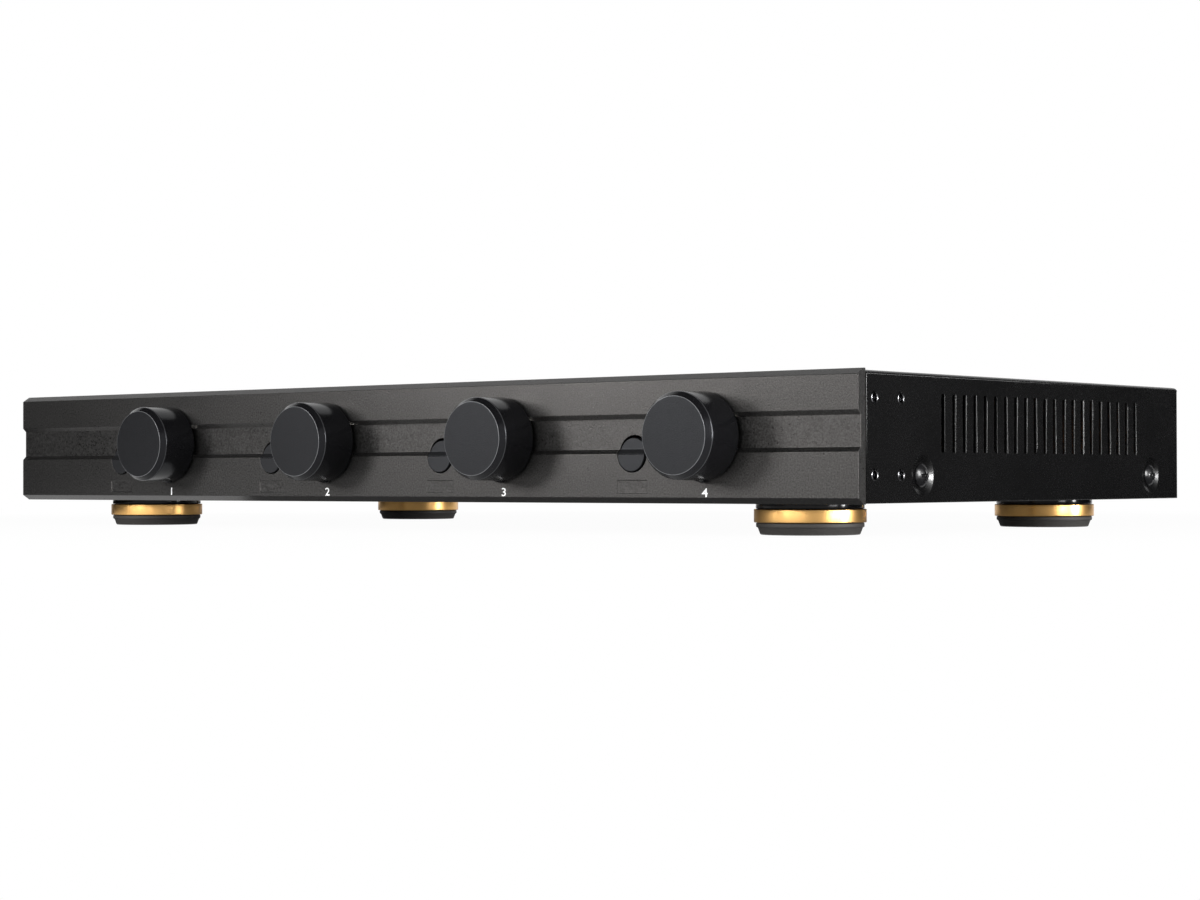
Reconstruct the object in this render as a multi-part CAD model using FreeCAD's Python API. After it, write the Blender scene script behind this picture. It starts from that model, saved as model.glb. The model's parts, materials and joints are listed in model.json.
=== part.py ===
import FreeCAD, Part
import math
import os

# Speaker selector switch for four rooms: one amplifier in, four pairs of speakers out.
# Millimetres. +X is to the right seen from the front, +Y to the back, +Z up.
# The origin is on the surface it stands on, in the middle of the overall length and depth.

# ---- driving sizes ----------------------------------------------------------------------

# front panel, a length of aluminium extrusion
panel_width = 431.8
panel_height = 44.4
panel_thickness = 4.5
panel_drop = 0.27               # reaches this far below the case
panel_rise = 0.58               # and stands this far above it
edge_slope_height = 2.0         # sloped top and bottom edges
edge_slope_depth = 3.2
channel_low = 17.2              # lips of the channel, above the panel's lower edge
channel_high = 30.8
channel_depth = 1.5             # its sides slope at 45 degrees
label_width = 13.2              # shallow recess for a room label
label_height = 4.5
label_low = 3.5
label_depth = 0.3

# case
case_depth = 229.0              # panel face to the back of the cover
cover_sheet = 1.0
cover_seam = 0.4                # open joint between panel and cover
cover_corner_radius = 1.5       # outside radius of the folds
lip_drop = 9.0                  # rear lip, folded down over the rear wall
lip_relief = 1.2                # notch at each end of the lip
lip_clearance = 0.1
lid_clearance = 0.3             # walls to the inside of the cover's top
chassis_sheet = 1.2
bend_radius = 1.0               # inside radius of the chassis bends
corner_relief = 1.5
flange_height = 15.2            # low side flanges
flange_setback = 5.0            # they start this far behind the rack holes

# ventilation slots in both sides
vent_count = 21
vent_width = 2.1
vent_length = 19.8
vent_low = 17.2                 # above the panel's lower edge
vent_front = 52.4               # middle of the first slot behind the panel face
vent_back = 36.2                # middle of the last one in front of the case's back

# holes for a rack ear's screws in both sides
rack_hole_radius = 2.0
rack_hole_front = 9.8
rack_spacing_deep = 16.0
rack_hole_low = 9.6
rack_spacing_high = 25.3

# cover screws, each in a pressed dimple
cover_screw_front = 39.3        # behind the panel face
cover_screw_back = 23.1         # in front of the case's back
cover_screw_height = 9.4
dimple_depth = 0.9
dimple_mouth_radius = 6.9
dimple_floor_radius = 4.6
cover_head_radius = 4.0
cover_head_height = 2.2
cover_head_rim = 0.6
cover_shank_radius = 1.75
cover_shank_length = 6.0

# feet
foot_side = 44.4                # centres in from the panel's ends
foot_front = 37.5               # behind the panel face
foot_back = 27.0                # in front of the case's back
foot_flange_radius = 18.8
foot_flange_height = 2.15
ring_radius = 19.45
ring_height = 4.9
pad_radius = 18.7
pad_step_radius = 18.2
pad_foot_radius = 17.2
pad_band_height = 1.5
pad_height = 4.1
stem_width = 10.0               # square stem that carries ring and pad
stem_in_pad = 2.4
stake_width = 13.0              # end of the stem, staked over above the chassis floor
stake_height = 1.6

# rooms: one knob and one button each
room_count = 4
rooms_left = 97.6               # first knob's axis from the panel's left end
rooms_right = 61.8              # last knob's axis from its right end
knob_height = 23.0              # axis above the panel's lower edge
knob_gap = 1.0                  # back of the knob to the panel
knob_length = 16.5
knob_radius = 15.1
knob_face_radius = 13.2
knob_bevel_length = 2.2
knob_bore_depth = 11.0
lug_length = 5.0                # pointer, a wedge that grows out of the side towards the back
lug_width = 3.2
lug_tip_width = 0.6
lug_rise = 1.0

# rotary switch
shaft_radius = 3.0
shaft_flat = 2.3                # axis to the flat
shaft_flat_length = 12.0
bushing_radius = 4.5
bushing_setback = 0.3           # end of the bushing inside the panel face
nut_across_flats = 12.0
nut_thickness = 2.0
nut_recess_depth = 2.6
nut_recess_radius = 9.0
switch_frame_thickness = 3.0
switch_body_depth = 14.0
rotor_radius = 9.5
rotor_thickness = 4.0
rotor_sides = 12                # one flat for each step
rotor_clearance = 0.6

# push switch and its button
button_offset = 31.5            # left of the knob
button_height = 16.9
button_radius = 5.85
button_sag = 0.3                # the cap sits this low in its hole
button_gap = 0.65               # and the hole is this much larger all round
button_proud = 0.65
button_length = 8.2
button_travel = 3.0
button_socket_depth = 4.0
plunger_width = 4.0
plunger_insertion = 6.0         # plunger inside the switch body at rest
push_body_width = 13.0
push_body_depth = 20.0
button_end_gap = 0.4            # cap to switch body at the end of its travel
window_gap = 0.75               # square window in the front wall, beyond the button's hole

# main board and its posts
board_thickness = 1.6
post_height = 6.3
post_width = 6.0
post_tip_width = 3.0
post_tip_height = 2.0
post_columns = 5
post_row_count = 3
post_front = 49.0               # first row behind the panel face
post_back = 43.0                # last row in front of the case's back
post_inset = 7.0                # outer columns inside the board's ends
board_front_gap = 2.0
board_rear_gap = 0.6
board_left = 37.4               # board's ends in from the panel's ends
board_right = 9.4

# autotransformers, two for each room
core_width = 35.0
core_headroom = 3.45            # strap to the inside of the cover
core_standoff = 1.0             # core above the board
core_stack = 22.0
core_leg = 10.0                 # centre leg
core_yoke = 5.0                 # outer legs and yokes
core_place = 70.0               # middle of the core behind the panel face
bobbin_wall = 1.0
bobbin_reach = 5.5              # bobbin in front of and behind the core
winding_inset = 0.8             # winding inside the edges of the bobbin
winding_corner = 3.0
strap_sheet = 1.0
strap_width = 12.0

# rear terminals
terminal_poles = 4
terminal_pitch = 5.08
socket_wall = 0.8
socket_depth = 12.0
socket_height = 8.6
socket_end = 1.0                # socket beyond the outer poles
wall_slot_clearance = 0.3
pin_width = 1.0
pin_length = 6.4
plug_play = 0.2
plug_insertion = 7.6
plug_gap = 0.6
plug_block_depth = 11.0
plug_block_height = 15.0
plug_block_drop = 3.4           # block below the inserted part
wire_entry = 3.0
wire_entry_depth = 8.0
input_offset = 45.0             # input terminal left of the first room

fit_clearance = 0.05            # play round screws, bushings and shafts
sharpest_fold = 0.1             # inside radius of a fold that is all but closed
closeness = 0.01                # a place this near another is the same one

# ---- places worked out from them ----------------------------------------------------------

foot_height = foot_flange_height + ring_height + pad_height
case_bottom = foot_height
panel_bottom = case_bottom - panel_drop
panel_top = panel_bottom + panel_height
case_top = panel_top - panel_rise

wall_back = case_depth - cover_sheet - lip_clearance
overall_depth = knob_length + knob_gap + wall_back + plug_gap + plug_block_depth
panel_front = knob_length + knob_gap - overall_depth / 2
panel_back = panel_front + panel_thickness
rear_wall_back = panel_front + wall_back
rear_wall_front = rear_wall_back - chassis_sheet
front_wall_back = panel_back + chassis_sheet
case_back = panel_front + case_depth
cover_front = panel_back + cover_seam

case_half = panel_width / 2
chassis_half = case_half - cover_sheet - dimple_depth
floor_top = case_bottom + chassis_sheet
wall_top = case_top - cover_sheet - lid_clearance


def spread(first, last, count):
    """Evenly spaced places from the first to the last."""
    return [first + (last - first) * place / (count - 1) for place in range(count)]


room_x = spread(rooms_left - case_half, case_half - rooms_right, room_count)
room_pitch = room_x[1] - room_x[0]
button_x = [x - button_offset for x in room_x]
knob_z = panel_bottom + knob_height
button_z = panel_bottom + button_height
button_hole_z = button_z + button_sag
button_hole_radius = button_radius + button_gap
knob_back = panel_front - knob_gap
knob_front = knob_back - knob_length

board_bottom = floor_top + post_height
board_top = board_bottom + board_thickness
board_front = front_wall_back + board_front_gap
board_back = rear_wall_front - board_rear_gap
board_x = (board_left - case_half, case_half - board_right)
post_x = spread(board_x[0] + post_inset, board_x[1] - post_inset, post_columns)
post_y = spread(panel_front + post_front, case_back - post_back, post_row_count)

terminal_x = [room_x[0] - input_offset] + room_x
socket_half = (terminal_poles * terminal_pitch) / 2 + socket_end
socket_front = rear_wall_back - socket_depth
cavity_half = socket_half - socket_wall
cavity_low = board_top + socket_wall
cavity_high = board_top + socket_height - socket_wall
cavity_front = rear_wall_back - plug_insertion - plug_play
pole_x = [(pole - (terminal_poles - 1) / 2) * terminal_pitch for pole in range(terminal_poles)]
pole_z = (cavity_low + cavity_high) / 2

foot_centres = [
    (side * (case_half - foot_side), y)
    for side in (-1, 1)
    for y in (panel_front + foot_front, case_back - foot_back)
]
cover_screw_centres = [
    (y, panel_bottom + cover_screw_height)
    for y in (panel_front + cover_screw_front, case_back - cover_screw_back)
]
vent_y = spread(panel_front + vent_front, case_back - vent_back, vent_count)
rack_hole_centres = [
    (panel_front + rack_hole_front + deep, panel_bottom + rack_hole_low + high)
    for deep in (0, rack_spacing_deep)
    for high in (0, rack_spacing_high)
]


# ---- shapes used throughout ---------------------------------------------------------------

def at(axis, level, a, b):
    """Point at a level along one axis; a and b are the other two coordinates in X, Y, Z order."""
    places = {"x": (level, a, b), "y": (a, level, b), "z": (a, b, level)}
    return FreeCAD.Vector(*places[axis])


def rounded_wire(points, radii):
    """Closed wire through the points, each corner rounded by its own radius; 0 keeps it sharp."""
    joins = []
    for place, corner in enumerate(points):
        before = (points[place - 1] - corner).normalize()
        after = (points[(place + 1) % len(points)] - corner).normalize()
        radius = radii[place]
        if radius == 0:
            joins.append((corner, None, corner))
            continue
        half_angle = before.getAngle(after) / 2
        reach = radius / math.tan(half_angle)
        centre = corner + (before + after).normalize() * (radius / math.sin(half_angle))
        middle = centre + (corner - centre).normalize() * radius
        joins.append((corner + before * reach, middle, corner + after * reach))
    edges = []
    for place, (start, middle, end) in enumerate(joins):
        if middle is not None:
            edges.append(Part.Arc(start, middle, end).toShape())
        following = joins[(place + 1) % len(joins)][0]
        if (following - end).Length > closeness:
            edges.append(Part.LineSegment(end, following).toShape())
    return Part.Wire(edges)


def prism(axis, outline, start, end, radii=None):
    """Outline of coordinate pairs, drawn out along an axis from start to end."""
    points = [at(axis, start, a, b) for a, b in outline]
    wire = rounded_wire(points, radii or [0] * len(points))
    return Part.Face(wire).extrude(at(axis, end - start, 0, 0))


def turned(axis, outline, a, b):
    """Outline of (radius, level) pairs, turned about a line along the axis through a and b."""
    points = [at(axis, level, a + radius, b) for radius, level in outline]
    wire = rounded_wire(points, [0] * len(points))
    return Part.Face(wire).revolve(at(axis, 0, a, b), at(axis, 1, 0, 0), 360)


def rod(axis, radius, start, end, a, b):
    """Round bar along an axis."""
    return Part.makeCylinder(radius, end - start, at(axis, start, a, b), at(axis, 1, 0, 0))


def block(x0, x1, y0, y1, z0, z1):
    """Rectangular block between two corners."""
    return Part.makeBox(x1 - x0, y1 - y0, z1 - z0, FreeCAD.Vector(x0, y0, z0))


def centred_block(x, y0, y1, z, width, height):
    """Block of a width and height about a line along Y."""
    return block(x - width / 2, x + width / 2, y0, y1, z - height / 2, z + height / 2)


def square_bar(x, y, half, z0, z1):
    """Upright square bar; half is half its width."""
    return block(x - half, x + half, y - half, y + half, z0, z1)


def polygon(sides, radius, a, b):
    """Regular outline with a flat at the bottom; radius is to its corners."""
    corners = []
    for side in range(sides):
        angle = 2 * math.pi * (side + 0.5) / sides - math.pi / 2
        corners.append((a + radius * math.cos(angle), b + radius * math.sin(angle)))
    return corners


def save(name, solids):
    """Write one sub-part; a list is a group of separate solids."""
    shape = Part.makeCompound(solids) if isinstance(solids, list) else solids
    shape.exportStep("parts/" + name + ".step")
    print(name, len(shape.Solids), "solid(s)", round(shape.Volume / 1000, 2), "cm3", shape.isValid())


# ---- case -----------------------------------------------------------------------------------

def panel_outline():
    """End view of the extrusion as (Y, Z) pairs, from the lower back corner round the front."""
    low_lip = panel_bottom + channel_low
    high_lip = panel_bottom + channel_high
    return [
        (panel_back, panel_bottom),
        (panel_front + edge_slope_depth, panel_bottom),
        (panel_front, panel_bottom + edge_slope_height),
        (panel_front, low_lip),
        (panel_front + channel_depth, low_lip + channel_depth),
        (panel_front + channel_depth, high_lip - channel_depth),
        (panel_front, high_lip),
        (panel_front, panel_top - edge_slope_height),
        (panel_front + edge_slope_depth, panel_top),
        (panel_back, panel_top),
    ]


def front_panel():
    """Extrusion with the openings for the switches and a label recess for each room."""
    cuts = []
    for room in range(room_count):
        x = room_x[room]
        label_bottom = panel_bottom + label_low
        label_x = button_x[room] - label_width / 2
        cuts.append(rod("y", bushing_radius + fit_clearance, panel_front, panel_back, x, knob_z))
        cuts.append(rod("y", nut_recess_radius, panel_front, panel_front + nut_recess_depth, x, knob_z))
        cuts.append(rod("y", button_hole_radius, panel_front, panel_back, button_x[room], button_hole_z))
        cuts.append(block(label_x, label_x + label_width, panel_front, panel_front + label_depth,
                          label_bottom, label_bottom + label_height))
    return prism("x", panel_outline(), -case_half, case_half).cut(cuts)


def chassis_profile():
    """Front wall, floor and rear wall as one folded sheet."""
    outline = [
        (panel_back, wall_top),
        (panel_back, case_bottom),
        (rear_wall_back, case_bottom),
        (rear_wall_back, wall_top),
        (rear_wall_front, wall_top),
        (rear_wall_front, floor_top),
        (front_wall_back, floor_top),
        (front_wall_back, wall_top),
    ]
    outer = bend_radius + chassis_sheet
    radii = [0, outer, outer, 0, 0, bend_radius, bend_radius, 0]
    edge = chassis_half - outer
    return prism("x", outline, -edge, edge, radii)


def side_flange(side):
    """Low flange folded up from the floor, from behind the rack holes to the rear wall."""
    outer = bend_radius + chassis_sheet
    fold = chassis_half - outer
    flange_top = case_bottom + flange_height
    outline = [
        (side * fold, case_bottom),
        (side * chassis_half, case_bottom),
        (side * chassis_half, flange_top),
        (side * (chassis_half - chassis_sheet), flange_top),
        (side * (chassis_half - chassis_sheet), floor_top),
        (side * fold, floor_top),
    ]
    start = panel_front + rack_hole_front + rack_spacing_deep + rack_hole_radius + flange_setback
    end = rear_wall_back - outer - corner_relief
    return prism("y", outline, start, end, [0, outer, 0, 0, bend_radius, 0])


def chassis_tray():
    """Folded tray with the openings for switches, terminals, feet and screws."""
    tray = chassis_profile().fuse([side_flange(-1), side_flange(1)]).removeSplitter()
    cuts = []
    bushing_window = 2 * (bushing_radius + fit_clearance)
    for x in room_x:
        cuts.append(centred_block(x, panel_back, front_wall_back, knob_z, bushing_window, bushing_window))
    button_window = 2 * (button_hole_radius + window_gap)
    for x in button_x:
        cuts.append(centred_block(x, panel_back, front_wall_back, button_hole_z, button_window, button_window))
    slot_half = socket_half + wall_slot_clearance
    for x in terminal_x:
        cuts.append(block(x - slot_half, x + slot_half, rear_wall_front, rear_wall_back,
                          board_top - wall_slot_clearance, board_top + socket_height + wall_slot_clearance))
    for x, y in foot_centres:
        cuts.append(square_bar(x, y, stem_width / 2 + fit_clearance, case_bottom, floor_top))
    for y, z in cover_screw_centres:
        cuts.append(rod("x", cover_shank_radius + fit_clearance, -case_half, case_half, y, z))
    return tray.cut(cuts)


def cover_shell():
    """Top and two sides with rounded folds, closed at the back and open below and in front."""
    inner_radius = max(cover_corner_radius - cover_sheet, sharpest_fold)
    shells = []
    for inset, radius, front_reach, low_reach in (
        (0, cover_corner_radius, 0, 0),
        (cover_sheet, inner_radius, cover_sheet, cover_sheet),
    ):
        half = case_half - inset
        solid = block(-half, half, cover_front - front_reach, case_back - inset,
                      case_bottom - low_reach, case_top - inset)
        top_edges = [
            edge for edge in solid.Edges
            if edge.BoundBox.ZMin > case_top - inset - closeness
            and edge.BoundBox.YMax > cover_front + closeness
        ]
        shells.append(solid.makeFillet(radius, top_edges))
    return shells[0].cut(shells[1])


def dimple(side, y, z, face):
    """Round dish pressed inwards from a face of the side sheet."""
    return Part.makeCone(dimple_mouth_radius, dimple_floor_radius, dimple_depth,
                         FreeCAD.Vector(side * face, y, z), FreeCAD.Vector(-side, 0, 0))


def top_cover():
    """Folded cover with vent slots, rack holes, pressed screw dimples and a rear lip."""
    shell = cover_shell()
    inner_half = case_half - cover_sheet
    inner_face = case_back - cover_sheet
    lip_low = case_top - lip_drop
    pressed = [
        dimple(side, y, z, inner_half)
        for side in (-1, 1)
        for y, z in cover_screw_centres
    ]
    cuts = [block(-inner_half, inner_half, inner_face, case_back, case_bottom, lip_low)]
    for side in (-1, 1):
        edge = sorted((side * inner_half, side * (inner_half - lip_relief)))
        cuts.append(block(edge[0], edge[1], inner_face, case_back, lip_low, case_top - cover_corner_radius))
        for y, z in cover_screw_centres:
            cuts.append(dimple(side, y, z, case_half))
    for y, z in cover_screw_centres:
        cuts.append(rod("x", cover_shank_radius + fit_clearance, -case_half, case_half, y, z))
    for y, z in rack_hole_centres:
        cuts.append(rod("x", rack_hole_radius, -case_half, case_half, y, z))
    vent_bottom = panel_bottom + vent_low
    for y in vent_y:
        cuts.append(block(-case_half, case_half, y - vent_width / 2, y + vent_width / 2,
                          vent_bottom, vent_bottom + vent_length))
    return shell.fuse(pressed).cut(cuts)


def cover_screw(side, y, z):
    """Screw with a domed head seated on the dimple's floor."""
    seat = case_half - dimple_depth
    rise = cover_head_height - cover_head_rim
    dome_radius = (cover_head_radius ** 2 + rise ** 2) / (2 * rise)
    dome_centre = seat + cover_head_height - dome_radius
    head = rod("x", cover_head_radius, seat, seat + cover_head_height, y, z)
    dome = Part.makeSphere(dome_radius, at("x", dome_centre, y, z), at("x", 1, 0, 0), -90, 90, 360)
    screw = head.common(dome).fuse(rod("x", cover_shank_radius, seat - cover_shank_length, seat, y, z))
    if side < 0:
        screw = screw.mirror(FreeCAD.Vector(0, 0, 0), FreeCAD.Vector(1, 0, 0))
    return screw


# ---- feet -------------------------------------------------------------------------------------

ring_bottom = pad_height
ring_top = ring_bottom + ring_height
stem_bottom = pad_height - stem_in_pad


def foot_housing(x, y):
    """Moulded flange under the case, on a square stem that is staked over above the chassis floor."""
    flange = rod("z", foot_flange_radius, ring_top, case_bottom, x, y)
    stem = square_bar(x, y, stem_width / 2, stem_bottom, floor_top)
    stake = square_bar(x, y, stake_width / 2, floor_top, floor_top + stake_height)
    return flange.fuse([stem, stake])


def foot_ring(x, y):
    """Metal ring between flange and pad, pushed over the stem."""
    ring = rod("z", ring_radius, ring_bottom, ring_top, x, y)
    return ring.cut(square_bar(x, y, stem_width / 2 + fit_clearance, ring_bottom, ring_top))


def foot_pad(x, y):
    """Rubber pad with a stepped, tapered side and a pocket for the stem."""
    step_level = pad_height - pad_band_height
    pad = turned("z", [
        (0, 0), (pad_foot_radius, 0), (pad_step_radius, step_level),
        (pad_radius, step_level), (pad_radius, pad_height), (0, pad_height),
    ], x, y)
    pocket_bottom = stem_bottom - fit_clearance
    return pad.cut(square_bar(x, y, stem_width / 2 + fit_clearance, pocket_bottom, pad_height))


# ---- volume knobs and rotary switches ---------------------------------------------------------

bore_end = knob_back - knob_bore_depth
nut_back = panel_front + nut_recess_depth
body_front = front_wall_back + switch_frame_thickness
body_back = body_front + switch_body_depth
chamber_back = body_front + rotor_thickness + 2 * rotor_clearance


def flatted_rod(radius, flat, start, end, x, z):
    """Round bar along Y with a flat facing up."""
    bar = rod("y", radius, start, end, x, z)
    return bar.cut(block(x - radius, x + radius, start, end, z + flat, z + 2 * radius))


def pointer_lug(x):
    """Wedge under the knob, flush with its side at the front and widest and proudest at the back."""
    tip = lug_tip_width / 2
    half = lug_width / 2
    low = knob_z - knob_radius
    front = knob_back - lug_length
    return Part.makeWedge(x - tip, front, low, low - lug_rise, x - half,
                          x + tip, knob_back, knob_z, knob_z, x + half)


def knob(x):
    """Turned body with a bevelled face, a D-shaped bore and a pointer lug at the bottom of its side."""
    bevel_back = knob_front + knob_bevel_length
    body = turned("y", [
        (0, knob_front), (knob_face_radius, knob_front), (knob_radius, bevel_back),
        (knob_radius, knob_back), (0, knob_back),
    ], x, knob_z)
    bore = flatted_rod(shaft_radius + fit_clearance, shaft_flat + fit_clearance, bore_end, knob_back, x, knob_z)
    return body.fuse(pointer_lug(x)).cut(bore)


def switch_shaft(x):
    """Shaft flatted for the knob, with the twelve-sided rotor that gives the steps."""
    front = bore_end + fit_clearance
    rotor_front = body_front + rotor_clearance
    flat_end = front + shaft_flat_length
    shaft = rod("y", shaft_radius, flat_end, rotor_front, x, knob_z)
    flatted = flatted_rod(shaft_radius, shaft_flat, front, flat_end, x, knob_z)
    rotor = prism("y", polygon(rotor_sides, rotor_radius, x, knob_z), rotor_front, rotor_front + rotor_thickness)
    return shaft.fuse([flatted, rotor])


def switch_frame(x):
    """Die-cast front plate with the bushing that the shaft turns in."""
    side = 2 * (knob_z - board_top)
    plate = centred_block(x, front_wall_back, body_front, knob_z, side, side)
    bushing = rod("y", bushing_radius, panel_front + bushing_setback, front_wall_back, x, knob_z)
    bore = rod("y", shaft_radius + fit_clearance, panel_front, body_front, x, knob_z)
    return plate.fuse(bushing).cut(bore)


def switch_body(x):
    """Moulded rear half with the rotor's chamber."""
    side = 2 * (knob_z - board_top)
    chamber = 2 * (rotor_radius + rotor_clearance)
    body = centred_block(x, body_front, body_back, knob_z, side, side)
    return body.cut(centred_block(x, body_front, chamber_back, knob_z, chamber, chamber))


def bushing_nut(x):
    """Hexagon nut in the panel's recess; it clamps the panel to the chassis."""
    corner_radius = nut_across_flats / math.sqrt(3)
    nut = prism("y", polygon(6, corner_radius, x, knob_z), nut_back - nut_thickness, nut_back)
    return nut.cut(rod("y", bushing_radius + fit_clearance, nut_back - nut_thickness, nut_back, x, knob_z))


# ---- buttons and push switches ----------------------------------------------------------------

cap_front = panel_front - button_proud
cap_back = cap_front + button_length
push_front = cap_back + button_travel + button_end_gap
plunger_front = cap_back - button_socket_depth
plunger_back = push_front + plunger_insertion


def button_cap(x):
    """Round cap whose stepped face carries the channel's lower lip across the hole."""
    lip = panel_bottom + channel_low
    top = button_z + button_radius
    bottom = button_z - button_radius
    behind_face = [
        (cap_front, bottom), (cap_front, lip), (cap_front + channel_depth, lip + channel_depth),
        (cap_front + channel_depth, top), (cap_back, top), (cap_back, bottom),
    ]
    cap = rod("y", button_radius, cap_front, cap_back, x, button_z)
    cap = cap.common(prism("x", behind_face, x - button_radius, x + button_radius))
    width = plunger_width + 2 * fit_clearance
    return cap.cut(centred_block(x, plunger_front, cap_back, button_z, width, width))


def push_plunger(x):
    """Square plunger from the cap's socket into the switch."""
    return centred_block(x, plunger_front, plunger_back, button_z, plunger_width, plunger_width)


def push_body(x):
    """Switch body on the board, with the plunger's channel."""
    height = 2 * (button_z - board_top)
    body = centred_block(x, push_front, push_front + push_body_depth, button_z, push_body_width, height)
    channel = plunger_width + 2 * rotor_clearance
    channel_back = plunger_back + button_travel + rotor_clearance
    return body.cut(centred_block(x, push_front, channel_back, button_z, channel, channel))


# ---- main board ---------------------------------------------------------------------------------

def main_board():
    """One board from the switches to the rear terminals, with a square hole for each post."""
    board = block(board_x[0], board_x[1], board_front, board_back, board_bottom, board_top)
    holes = [
        square_bar(x, y, post_tip_width / 2 + fit_clearance, board_bottom, board_top)
        for x in post_x
        for y in post_y
    ]
    return board.cut(holes)


def board_post(x, y):
    """Square post on the chassis floor with a tip through the board."""
    post = square_bar(x, y, post_width / 2, floor_top, board_bottom)
    return post.fuse(square_bar(x, y, post_tip_width / 2, board_bottom, board_top + post_tip_height))


# ---- autotransformers -----------------------------------------------------------------------------

core_bottom = board_top + core_standoff
core_top = case_top - cover_sheet - core_headroom - strap_sheet
core_y = panel_front + core_place
window_width = (core_width - core_leg) / 2 - core_yoke
bobbin_half = core_leg / 2 + window_width - fit_clearance
bobbin_half_depth = core_stack / 2 + bobbin_reach
transformer_x = [x + side * room_pitch / 4 for x in room_x for side in (-1, 1)]


def square_ring(x, inner_half, outer_half, inner_deep, outer_deep, z0, z1, corner=0):
    """Upright ring round a transformer's centre leg, between an inner and an outer rectangle."""
    outline = [
        (x - outer_half, core_y - outer_deep), (x + outer_half, core_y - outer_deep),
        (x + outer_half, core_y + outer_deep), (x - outer_half, core_y + outer_deep),
    ]
    ring = prism("z", outline, z0, z1)
    if corner:
        uprights = [edge for edge in ring.Edges if edge.BoundBox.ZLength > (z1 - z0) / 2]
        ring = ring.makeChamfer(corner, uprights)
    return ring.cut(block(x - inner_half, x + inner_half, core_y - inner_deep, core_y + inner_deep, z0, z1))


def transformer_core(x):
    """Stack of laminations with two windows beside the centre leg."""
    core = block(x - core_width / 2, x + core_width / 2, core_y - core_stack / 2, core_y + core_stack / 2,
                 core_bottom, core_top)
    windows = []
    for side in (-1, 1):
        middle = x + side * (core_leg + window_width) / 2
        windows.append(block(middle - window_width / 2, middle + window_width / 2,
                             core_y - core_stack / 2, core_y + core_stack / 2,
                             core_bottom + core_yoke, core_top - core_yoke))
    return core.cut(windows)


def transformer_bobbin(x):
    """Tube round the centre leg with a flange at each end."""
    inner = core_leg / 2 + fit_clearance
    inner_deep = core_stack / 2 + fit_clearance
    low = core_bottom + core_yoke
    high = core_top - core_yoke
    tube = square_ring(x, inner, inner + bobbin_wall, inner_deep, inner_deep + bobbin_wall, low, high)
    lower = square_ring(x, inner, bobbin_half, inner_deep, bobbin_half_depth, low, low + bobbin_wall)
    upper = square_ring(x, inner, bobbin_half, inner_deep, bobbin_half_depth, high - bobbin_wall, high)
    return tube.fuse([lower, upper]).removeSplitter()


def transformer_winding(x):
    """Copper winding on the bobbin."""
    inner = core_leg / 2 + 2 * fit_clearance + bobbin_wall
    inner_deep = core_stack / 2 + 2 * fit_clearance + bobbin_wall
    outer = bobbin_half - winding_inset
    outer_deep = bobbin_half_depth - winding_inset
    low = core_bottom + core_yoke + bobbin_wall
    high = core_top - core_yoke - bobbin_wall
    return square_ring(x, inner, outer, inner_deep, outer_deep, low, high, winding_corner)


def transformer_strap(x):
    """Bent steel strap over the core, with its ends on the board."""
    half = core_width / 2
    outline = [
        (x - half - strap_sheet, board_top), (x - half, board_top), (x - half, core_top),
        (x + half, core_top), (x + half, board_top), (x + half + strap_sheet, board_top),
        (x + half + strap_sheet, core_top + strap_sheet), (x - half - strap_sheet, core_top + strap_sheet),
    ]
    return prism("y", outline, core_y - strap_width / 2, core_y + strap_width / 2)


# ---- rear terminals --------------------------------------------------------------------------------

def terminal_socket(x):
    """Shrouded socket on the board's rear edge, open to the back."""
    socket = block(x - socket_half, x + socket_half, socket_front, rear_wall_back,
                   board_top, board_top + socket_height)
    return socket.cut(block(x - cavity_half, x + cavity_half, cavity_front, rear_wall_back,
                            cavity_low, cavity_high))


def terminal_pin(x):
    """Square contact pin in the socket."""
    return centred_block(x, cavity_front, cavity_front + pin_length, pole_z, pin_width, pin_width)


def terminal_plug(x):
    """Plug with a receptacle for each pin and an entry for each wire."""
    front = cavity_front + plug_play
    block_front = rear_wall_back + plug_gap
    block_back = block_front + plug_block_depth
    half = cavity_half - plug_play
    low = cavity_low + plug_play
    high = cavity_high - plug_play
    plug = block(x - half, x + half, front, block_front, low, high)
    plug = plug.fuse(block(x - half, x + half, block_front, block_back,
                           low - plug_block_drop, low - plug_block_drop + plug_block_height))
    cuts = []
    for pole in pole_x:
        receptacle = pin_width + 2 * plug_play
        cuts.append(centred_block(x + pole, front, cavity_front + pin_length + plug_play, pole_z,
                                  receptacle, receptacle))
        cuts.append(centred_block(x + pole, block_back - wire_entry_depth, block_back, pole_z,
                                  wire_entry, wire_entry))
    return plug.cut(cuts)


# ---- the assembly -----------------------------------------------------------------------------------

os.makedirs("parts", exist_ok=True)

save("front_panel", front_panel())
save("chassis_tray", chassis_tray())
save("top_cover", top_cover())
save("cover_screws", [cover_screw(side, y, z) for side in (-1, 1) for y, z in cover_screw_centres])

save("foot_housings", [foot_housing(x, y) for x, y in foot_centres])
save("foot_rings", [foot_ring(x, y) for x, y in foot_centres])
save("foot_pads", [foot_pad(x, y) for x, y in foot_centres])

save("switch_frames", [switch_frame(x) for x in room_x])
save("switch_bodies", [switch_body(x) for x in room_x])
save("bushing_nuts", [bushing_nut(x) for x in room_x])
save("push_bodies", [push_body(x) for x in button_x])
for room in range(room_count):
    number = str(room + 1)
    save("knob_" + number, knob(room_x[room]))
    save("switch_shaft_" + number, switch_shaft(room_x[room]))
    save("button_cap_" + number, button_cap(button_x[room]))
    save("push_plunger_" + number, push_plunger(button_x[room]))

save("main_board", main_board())
save("board_posts", [board_post(x, y) for x in post_x for y in post_y])

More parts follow.
